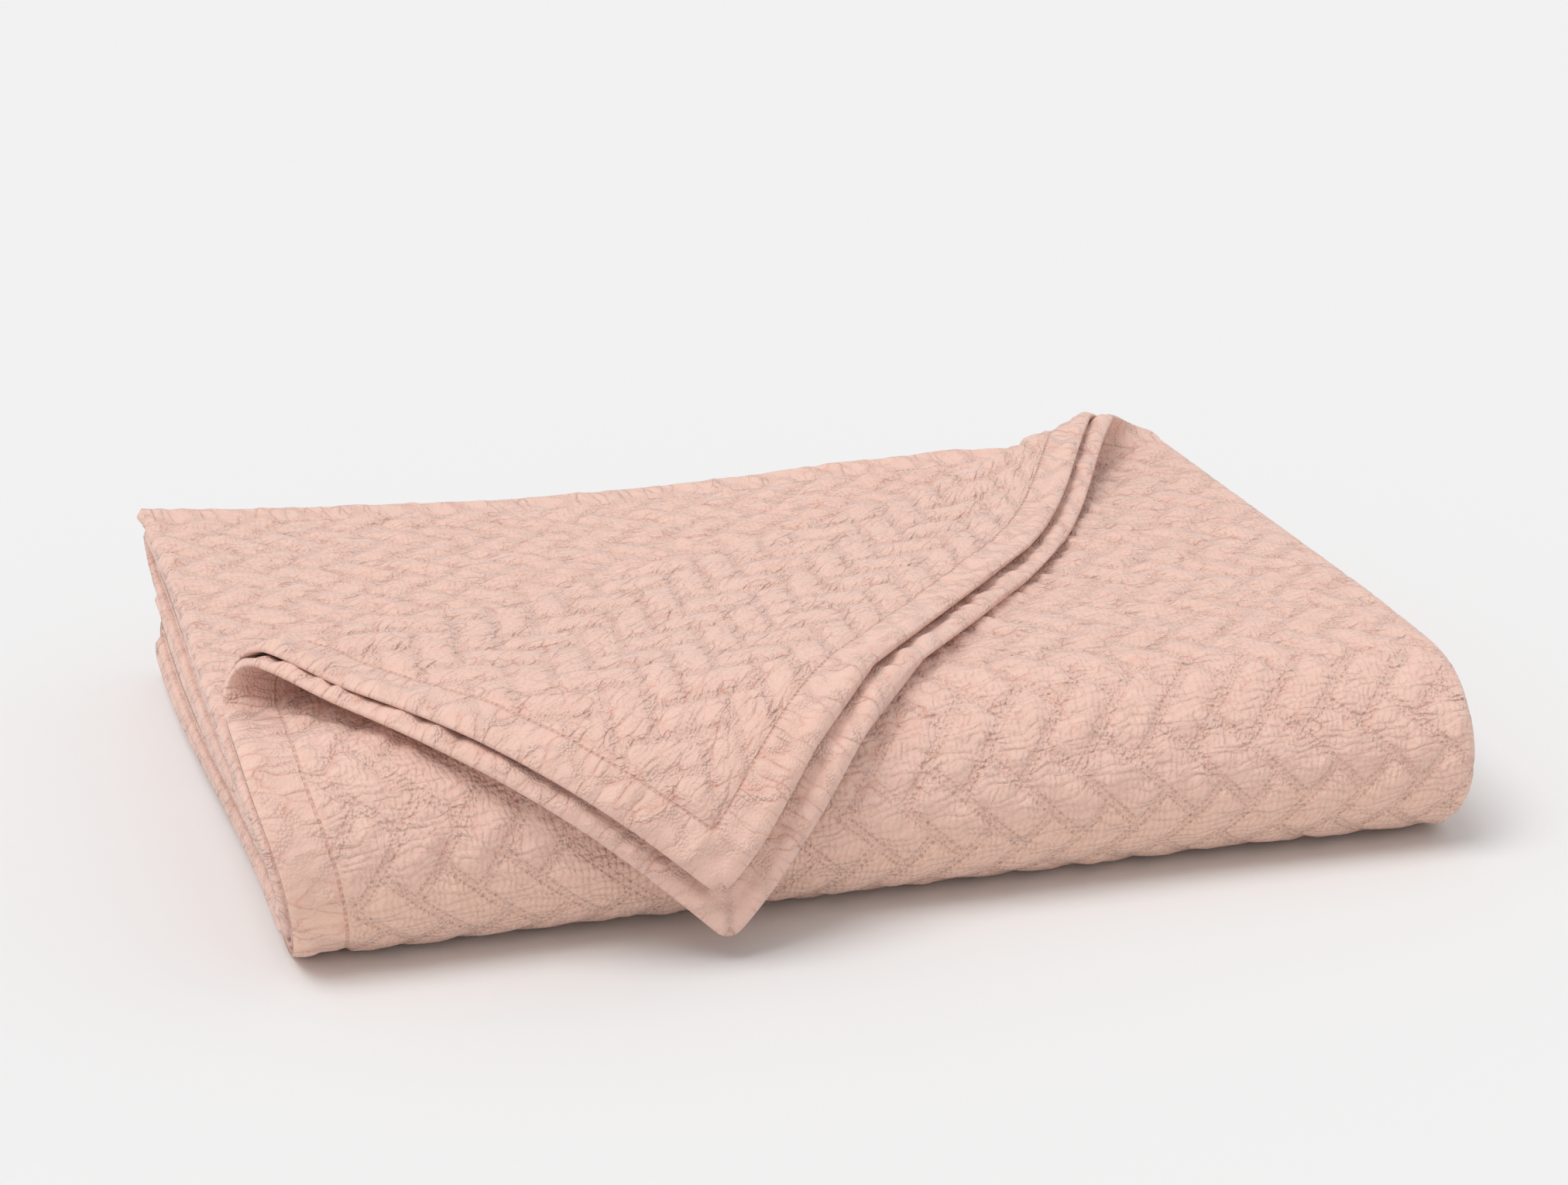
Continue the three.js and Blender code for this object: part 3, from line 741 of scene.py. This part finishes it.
# Places on the cloth or hem, counted in patches of a size in mm
def in_patches(tree, places, size):
    return add(tree, "VectorMath", {0: places, 1: (1 / size[0], 1 / size[1], 0)}, operation="MULTIPLY")


def apart(tree, one, other):
    difference = add(tree, "Math", {0: one, 1: other}, operation="SUBTRACT")
    return add(tree, "Math", {0: difference}, operation="ABSOLUTE")


# Ribs a given distance apart in mm, rounded on top, that wander with the noise
def ribs(tree, along, wander, spacing, sway):
    turns = add(tree, "Math", {0: along, 1: math.pi / spacing}, operation="MULTIPLY")
    turns = add(tree, "Math", {0: wander, 1: sway, 2: turns}, operation="MULTIPLY_ADD")
    wave = add(tree, "Math", {0: turns}, operation="SINE")
    return add(tree, "Math", {0: wave}, operation="ABSOLUTE")


# A row broken into stitches: full on each one, faint between
def dotted(tree, row, run, turns, faint):
    beat = add(tree, "Math", {0: run, 1: turns}, operation="MULTIPLY")
    beat = add(tree, "Math", {0: beat}, operation="SINE")
    dots = add(tree, "MapRange", {0: beat, 1: -1.0, 2: 1.0, 3: faint, 4: 1.0})
    return add(tree, "Math", {0: row, 1: dots}, operation="MULTIPLY")


# The herringbone of brick_place above: distance in mm from a brick's border, and the way along it
def herringbone(tree, p, q):
    diagonal = math.sqrt(2) * BRICK
    total = add(tree, "Math", {0: p, 1: q}, operation="ADD")
    difference = add(tree, "Math", {0: p, 1: q}, operation="SUBTRACT")
    a = add(tree, "Math", {0: total, 1: diagonal}, operation="DIVIDE")
    b = add(tree, "Math", {0: difference, 1: diagonal}, operation="DIVIDE")
    m = add(tree, "Math", {0: a}, operation="FLOOR")
    n = add(tree, "Math", {0: b}, operation="FLOOR")
    into_a = add(tree, "Math", {0: a, 1: m}, operation="SUBTRACT")
    into_b = add(tree, "Math", {0: b, 1: n}, operation="SUBTRACT")
    steps = add(tree, "Math", {0: m, 1: n}, operation="SUBTRACT")
    kind = add(tree, "Math", {0: steps, 1: 4.0}, operation="FLOORED_MODULO")
    # kinds 0 and 1 lie along a, and 1 and 2 are the second half of their brick
    along_a = add(tree, "Math", {0: kind, 1: 1.5}, operation="LESS_THAN")
    second_half = add(tree, "Math", {0: kind, 1: 1.5, 2: 0.6}, operation="COMPARE")
    half_along = add(tree, "Mix", {0: along_a, 2: into_b, 3: into_a})
    across = add(tree, "Mix", {0: along_a, 2: into_a, 3: into_b})
    along = add(tree, "Math", {0: half_along, 1: second_half}, operation="ADD")
    to_side = add(tree, "Math", {0: 0.5, 1: apart(tree, across, 0.5)}, operation="SUBTRACT")
    to_end = add(tree, "Math", {0: 1.0, 1: apart(tree, along, 1.0)}, operation="SUBTRACT")
    nearest = add(tree, "Math", {0: to_side, 1: to_end}, operation="MINIMUM")
    border = add(tree, "Math", {0: nearest, 1: BRICK}, operation="MULTIPLY")
    side_first = add(tree, "Math", {0: to_side, 1: to_end}, operation="LESS_THAN")
    return border, add(tree, "Mix", {0: side_first, 2: across, 3: along})


# Two rows of stitches beside each border, plain to see only where the cloth is pulled flat
def quilting_stitches(tree, border, run, inside_hem, stitched):
    off_row = apart(tree, border, STITCH_GAP)
    row = add(tree, "MapRange", {0: off_row, 1: 0.0, 2: STITCH_WIDTH, 3: 1.0, 4: 0.0})
    stitches = dotted(tree, row, run, 2 * math.pi * BRICK / STITCH_LENGTH, BETWEEN_STITCHES)
    stitches = add(tree, "Math", {0: stitches, 1: inside_hem}, operation="MULTIPLY")
    return add(tree, "Math", {0: stitches, 1: stitched}, operation="MULTIPLY")


def hem_stitches(tree, from_edge, along_edge):
    off_row = apart(tree, from_edge, float(HEM))
    near, far = HEM_STITCH_WIDTH
    row = add(tree, "MapRange", {0: off_row, 1: near, 2: far, 3: 1.0, 4: 0.0})
    return dotted(tree, row, along_edge, 2 * math.pi / HEM_STITCH, BETWEEN_HEM_STITCHES)


# Lumps drawn up across the cloth, deepest between the pads, and across the band of the hem: how far each
# place is puffed up, and how far it lies in a trough, which painted shade darkens
def small_lumps(tree, cloth, hem, past_hem, border, puckered):
    places = add(tree, "Mix", {
        0: past_hem, 4: in_patches(tree, hem, HEM_LUMP), 5: in_patches(tree, cloth, SMALL_LUMP),
    }, data_type="VECTOR").outputs[1]
    wander = add(tree, "TexNoise", {"Vector": places, "Scale": LUMP_WANDER_SCALE, "Detail": 1.0},
                 noise_dimensions="2D")
    places = add(tree, "VectorMath", {
        0: wander.outputs["Color"], 1: (LUMP_WANDER, LUMP_WANDER, 0), 2: places,
    }, operation="MULTIPLY_ADD")
    to_trough = add(tree, "TexVoronoi", {"Vector": places, "Scale": 1.0},
                    voronoi_dimensions="2D", feature="DISTANCE_TO_EDGE")
    rounded = add(tree, "MapRange", {0: to_trough, 1: 0.0, 2: LUMP_SIDE, 3: 0.0, 4: 1.0})
    rounded = add(tree, "Math", {0: rounded, 1: LUMP_FULLNESS}, operation="POWER")
    low, high = NOISE_MIDDLE
    depth = add(tree, "MapRange", {0: wander, 1: low, 2: high, 3: LOW_LUMP, 4: 1.0})
    near, far = LUMPS_FROM_BORDER
    near_border = add(tree, "MapRange", {0: border, 1: near, 2: far, 3: 1.0, 4: LUMP_IN_PAD})
    reach = add(tree, "Math", {0: near_border, 1: puckered}, operation="MULTIPLY")
    reach = add(tree, "Mix", {0: past_hem, 2: LUMP_ON_HEM, 3: reach})
    reach = add(tree, "Math", {0: reach, 1: depth}, operation="MULTIPLY")
    # the troughs between lumps, darkened with painted shade in the dye
    trough_shade = add(tree, "MapRange", {0: to_trough, 1: 0.0, 2: LUMP_TROUGH, 3: 1.0, 4: 0.0})
    return (add(tree, "Math", {0: rounded, 1: reach}, operation="MULTIPLY"),
            add(tree, "Math", {0: trough_shade, 1: reach}, operation="MULTIPLY"))


# A gauze of creases both ways, plainest where the cloth is pulled round the nose: its height, and how far
# each place lies in a crease, which painted shade darkens
def gauze_creases(tree, cloth, p, q, inside_hem, gauzy):
    drift = add(tree, "TexNoise", {
        "Vector": in_patches(tree, cloth, GAUZE_DRIFT), "Scale": 1.0, "Detail": 1.0,
    }, noise_dimensions="2D")
    lying = ribs(tree, q, drift, GAUZE_LYING, LYING_SWAY)
    upright = ribs(tree, p, drift, GAUZE_UPRIGHT, UPRIGHT_SWAY)
    gauze = add(tree, "Math", {0: upright, 1: UPRIGHT_SHARE, 2: lying}, operation="MULTIPLY_ADD")
    gauze = add(tree, "Math", {0: gauze, 1: gauzy}, operation="MULTIPLY")
    gauze = add(tree, "Math", {0: gauze, 1: inside_hem}, operation="MULTIPLY")
    # the creases, darkened with painted shade in the dye
    crease_shade = add(tree, "MapRange", {0: lying, 1: 0.0, 2: CREASE_SIDE, 3: CREASE_PAINTED_SHADE, 4: 0.0})
    return gauze, add(tree, "Math", {0: crease_shade, 1: gauzy}, operation="MULTIPLY")


# Curled threads, thickest beside the stitches
def curled_threads(tree, cloth, border):
    near, far = CURLS_FROM_BORDER
    near_row = add(tree, "MapRange", {0: border, 1: near, 2: far, 3: 1.0, 4: CURL_IN_PAD})
    curls = add(tree, "VectorMath", {0: cloth, 1: (CURLS_TO_A_MM, CURLS_TO_A_MM, 0)}, operation="MULTIPLY")
    curls = add(tree, "TexVoronoi", {"Vector": curls, "Scale": 1.0}, voronoi_dimensions="2D")
    return add(tree, "Math", {0: curls, 1: near_row}, operation="MULTIPLY")


# The dye is even, with painted shade deepening it in the creases and troughs and along the stitches, where
# it stands partly for the thread, and painted light making it lighter where the cloth is pulled flat
def blush_with_painted_light_and_shade(tree, cloth, puckered, sewn, trough_shade):
    # painted shade: a deeper blush where shade falls in creases and troughs, and along the stitches, where
    # it stands partly for the thread
    painted_shade = add(tree, "Math", {0: sewn, 1: PAINTED_SHADE_SHARE}, operation="MULTIPLY")
    painted_shade = add(tree, "Math", {0: trough_shade, 1: PAINTED_SHADE_SHARE, 2: painted_shade}, operation="MULTIPLY_ADD", use_clamp=True)
    washed = add(tree, "TexNoise", {
        "Vector": in_patches(tree, cloth, WASHED_PATCH), "Scale": 1.0, "Detail": 3.0,
    }, noise_dimensions="2D")
    tone = add(tree, "Mix", {0: washed, 6: linear(BLUSH), 7: linear(BLUSH_WASHED)}, data_type="RGBA")
    # painted light: a paler blush where the cloth is pulled flat low on the front
    flatness = add(tree, "MapRange", {0: puckered, 1: 0.0, 2: PUCKERED_WITHOUT_PAINTED_LIGHT, 3: PAINTED_LIGHT_SHARE, 4: 0.0})
    tone = add(tree, "Mix", {0: flatness, 6: tone.outputs[2], 7: linear(BLUSH_PAINTED_LIGHT)}, data_type="RGBA")
    tone = add(tree, "Mix", {0: painted_shade, 6: tone.outputs[2], 7: linear(BLUSH_PAINTED_SHADE)}, data_type="RGBA")
    return tone.outputs[2]


# Cotton matelasse, woven as two cloths joined along double rows of stitches and washed until it
# crinkled: matt and soft, with dotted lines between the puffs and a grain of small curled threads
def blush_cotton():
    material, tree = new_material("blush_cotton_matelasse")
    cloth = add(tree, "Attribute", {}, attribute_name="cloth").outputs["Vector"]
    hem = add(tree, "Attribute", {}, attribute_name="hem").outputs["Vector"]
    crinkle = add(tree, "Attribute", {}, attribute_name="crinkle").outputs["Vector"]
    p, q, _ = add(tree, "SeparateXYZ", {0: cloth}).outputs
    from_edge, along_edge, _ = add(tree, "SeparateXYZ", {0: hem}).outputs
    puckered, gauzy, stitched = add(tree, "SeparateXYZ", {0: crinkle}).outputs

    border, run = herringbone(tree, p, q)
    near, far = INSIDE_HEM
    past_hem = add(tree, "Math", {0: from_edge, 1: near}, operation="GREATER_THAN")
    inside_hem = add(tree, "MapRange", {0: from_edge, 1: near, 2: far, 3: 0.0, 4: 1.0})
    quilting = quilting_stitches(tree, border, run, inside_hem, stitched)
    hemming = hem_stitches(tree, from_edge, along_edge)
    sewn = add(tree, "Math", {0: quilting, 1: hemming}, operation="MAXIMUM")
    puff, trough_shade = small_lumps(tree, cloth, hem, past_hem, border, puckered)
    gauze, crease_shade = gauze_creases(tree, cloth, p, q, inside_hem, gauzy)
    trough_shade = add(tree, "Math", {0: trough_shade, 1: crease_shade}, operation="MAXIMUM")
    curls = curled_threads(tree, cloth, border)

    height = add(tree, "Math", {0: puff, 1: SMALL_LUMP_HEIGHT}, operation="MULTIPLY")
    for part, rise in ((gauze, GAUZE_HEIGHT), (curls, CURL_DEPTH), (sewn, SEWN_DEPTH)):
        height = add(tree, "Math", {0: part, 1: rise, 2: height}, operation="MULTIPLY_ADD")
    relief = add(tree, "Bump", {"Height": height, "Strength": 1.0, "Distance": MM})
    body = add(tree, "BsdfPrincipled", {
        "Base Color": blush_with_painted_light_and_shade(tree, cloth, puckered, sewn, trough_shade), "Normal": relief,
        "Roughness": 0.93, "Sheen Weight": 0.4, "Sheen Roughness": 0.5, "Specular IOR Level": 0.2,
    })
    add(tree, "OutputMaterial", {"Surface": body})
    return material


# Matt white paint, which takes soft shade and gives no reflection
def floor_paint():
    material, tree = new_material("pale_floor_paint")
    body = add(tree, "BsdfPrincipled", {
        "Base Color": linear(FLOOR_WHITE), "Roughness": 0.9, "Specular IOR Level": 0.1,
    })
    add(tree, "OutputMaterial", {"Surface": body})
    return material


# The camera stands to the left of the blanket's middle and looks down on it by 20.5 degrees
PHOTO_WIDTH = 2025
SENSOR = 36.0
FOCAL_PIXELS = 5000
CAMERA_PLACE = (-502.0, -1795.2, 795.2)
CAMERA_DOWN = math.radians(20.55)
CAMERA_AZIMUTH = math.radians(-15.72)
SEES_TO = 100  # metres

FLOOR_HALF = 40000
SKY_STRENGTH = 0.66
WINDOW_TOWARDS = (0.4, 0.1, -1.0)
WINDOW_SPREAD = math.radians(36)
WINDOW_STRENGTH = 1.5


def add_camera():
    data = bpy.data.cameras.new("camera")
    data.sensor_width = SENSOR
    data.lens = FOCAL_PIXELS * SENSOR / PHOTO_WIDTH
    data.clip_end = SEES_TO
    camera = bpy.data.objects.new("camera", data)
    bpy.context.scene.collection.objects.link(camera)
    camera.location = [c * MM for c in CAMERA_PLACE]
    camera.rotation_euler = (math.pi / 2 - CAMERA_DOWN, 0, CAMERA_AZIMUTH)
    bpy.context.scene.camera = camera


# An even pale sky, and a soft light from above and to the left that is as strong on the floor as
# on the cloth
def add_studio_light():
    world = bpy.data.worlds.new("studio")
    world.use_nodes = True
    sky = world.node_tree.nodes["Background"]
    sky.inputs["Color"].default_value = (1, 1, 1, 1)
    sky.inputs["Strength"].default_value = SKY_STRENGTH
    bpy.context.scene.world = world
    data = bpy.data.lights.new("window_light", "SUN")
    data.angle = WINDOW_SPREAD
    data.energy = WINDOW_STRENGTH
    light = bpy.data.objects.new("window_light", data)
    bpy.context.scene.collection.objects.link(light)
    light.rotation_euler = Vector(WINDOW_TOWARDS).to_track_quat("-Z", "Y").to_euler()


def add_floor():
    half = FLOOR_HALF * MM
    mesh = bpy.data.meshes.new("floor")
    corners = [(-half, -half, 0), (half, -half, 0), (half, half, 0), (-half, half, 0)]
    mesh.from_pydata(corners, [], [(0, 1, 2, 3)])
    floor = bpy.data.objects.new("floor", mesh)
    bpy.context.scene.collection.objects.link(floor)
    mesh.materials.append(floor_paint())


add_camera()
blanket = build_blanket()
blanket.data.materials.append(blush_cotton())
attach(blanket, "root")
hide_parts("blanket")

add_floor()
add_studio_light()
# the hex colours above are the colours seen
bpy.context.scene.view_settings.view_transform = "Standard"
